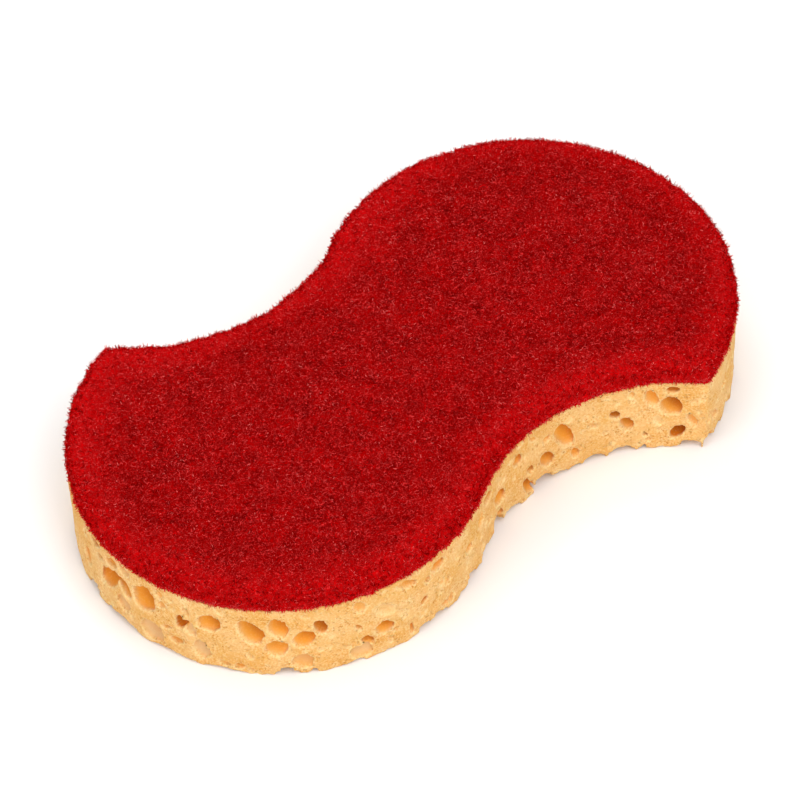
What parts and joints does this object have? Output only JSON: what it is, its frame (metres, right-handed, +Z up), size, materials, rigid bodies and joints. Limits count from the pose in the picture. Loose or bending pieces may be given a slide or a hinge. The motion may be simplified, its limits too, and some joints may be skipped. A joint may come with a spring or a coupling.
{
  "type": "scrub sponge",
  "caption": "Hand scrub sponge: an S-shaped block of open-pored cellulose with hollow sides for the fingers and a coarse fibre scouring pad bonded over its top face.",
  "frame": {"origin": "middle of the S outline, at the height of the sponge's base", "axes": "+Z up, from the sponge to the scouring face; +X along the length; the horn tips lie at -X +Y and +X -Y"},
  "size_m": [0.15, 0.086, 0.0253],
  "materials": {
    "cellulose": "dry open-pored cellulose, matt, pale orange-yellow",
    "scouring_fibre": "mat of crimped synthetic fibres bound with a deep red resin, small dull glints"
  },
  "bodies": {
    "root": {"cellulose_sponge": "cellulose", "scouring_pad": "scouring_fibre"}
  },
  "joints": []
}
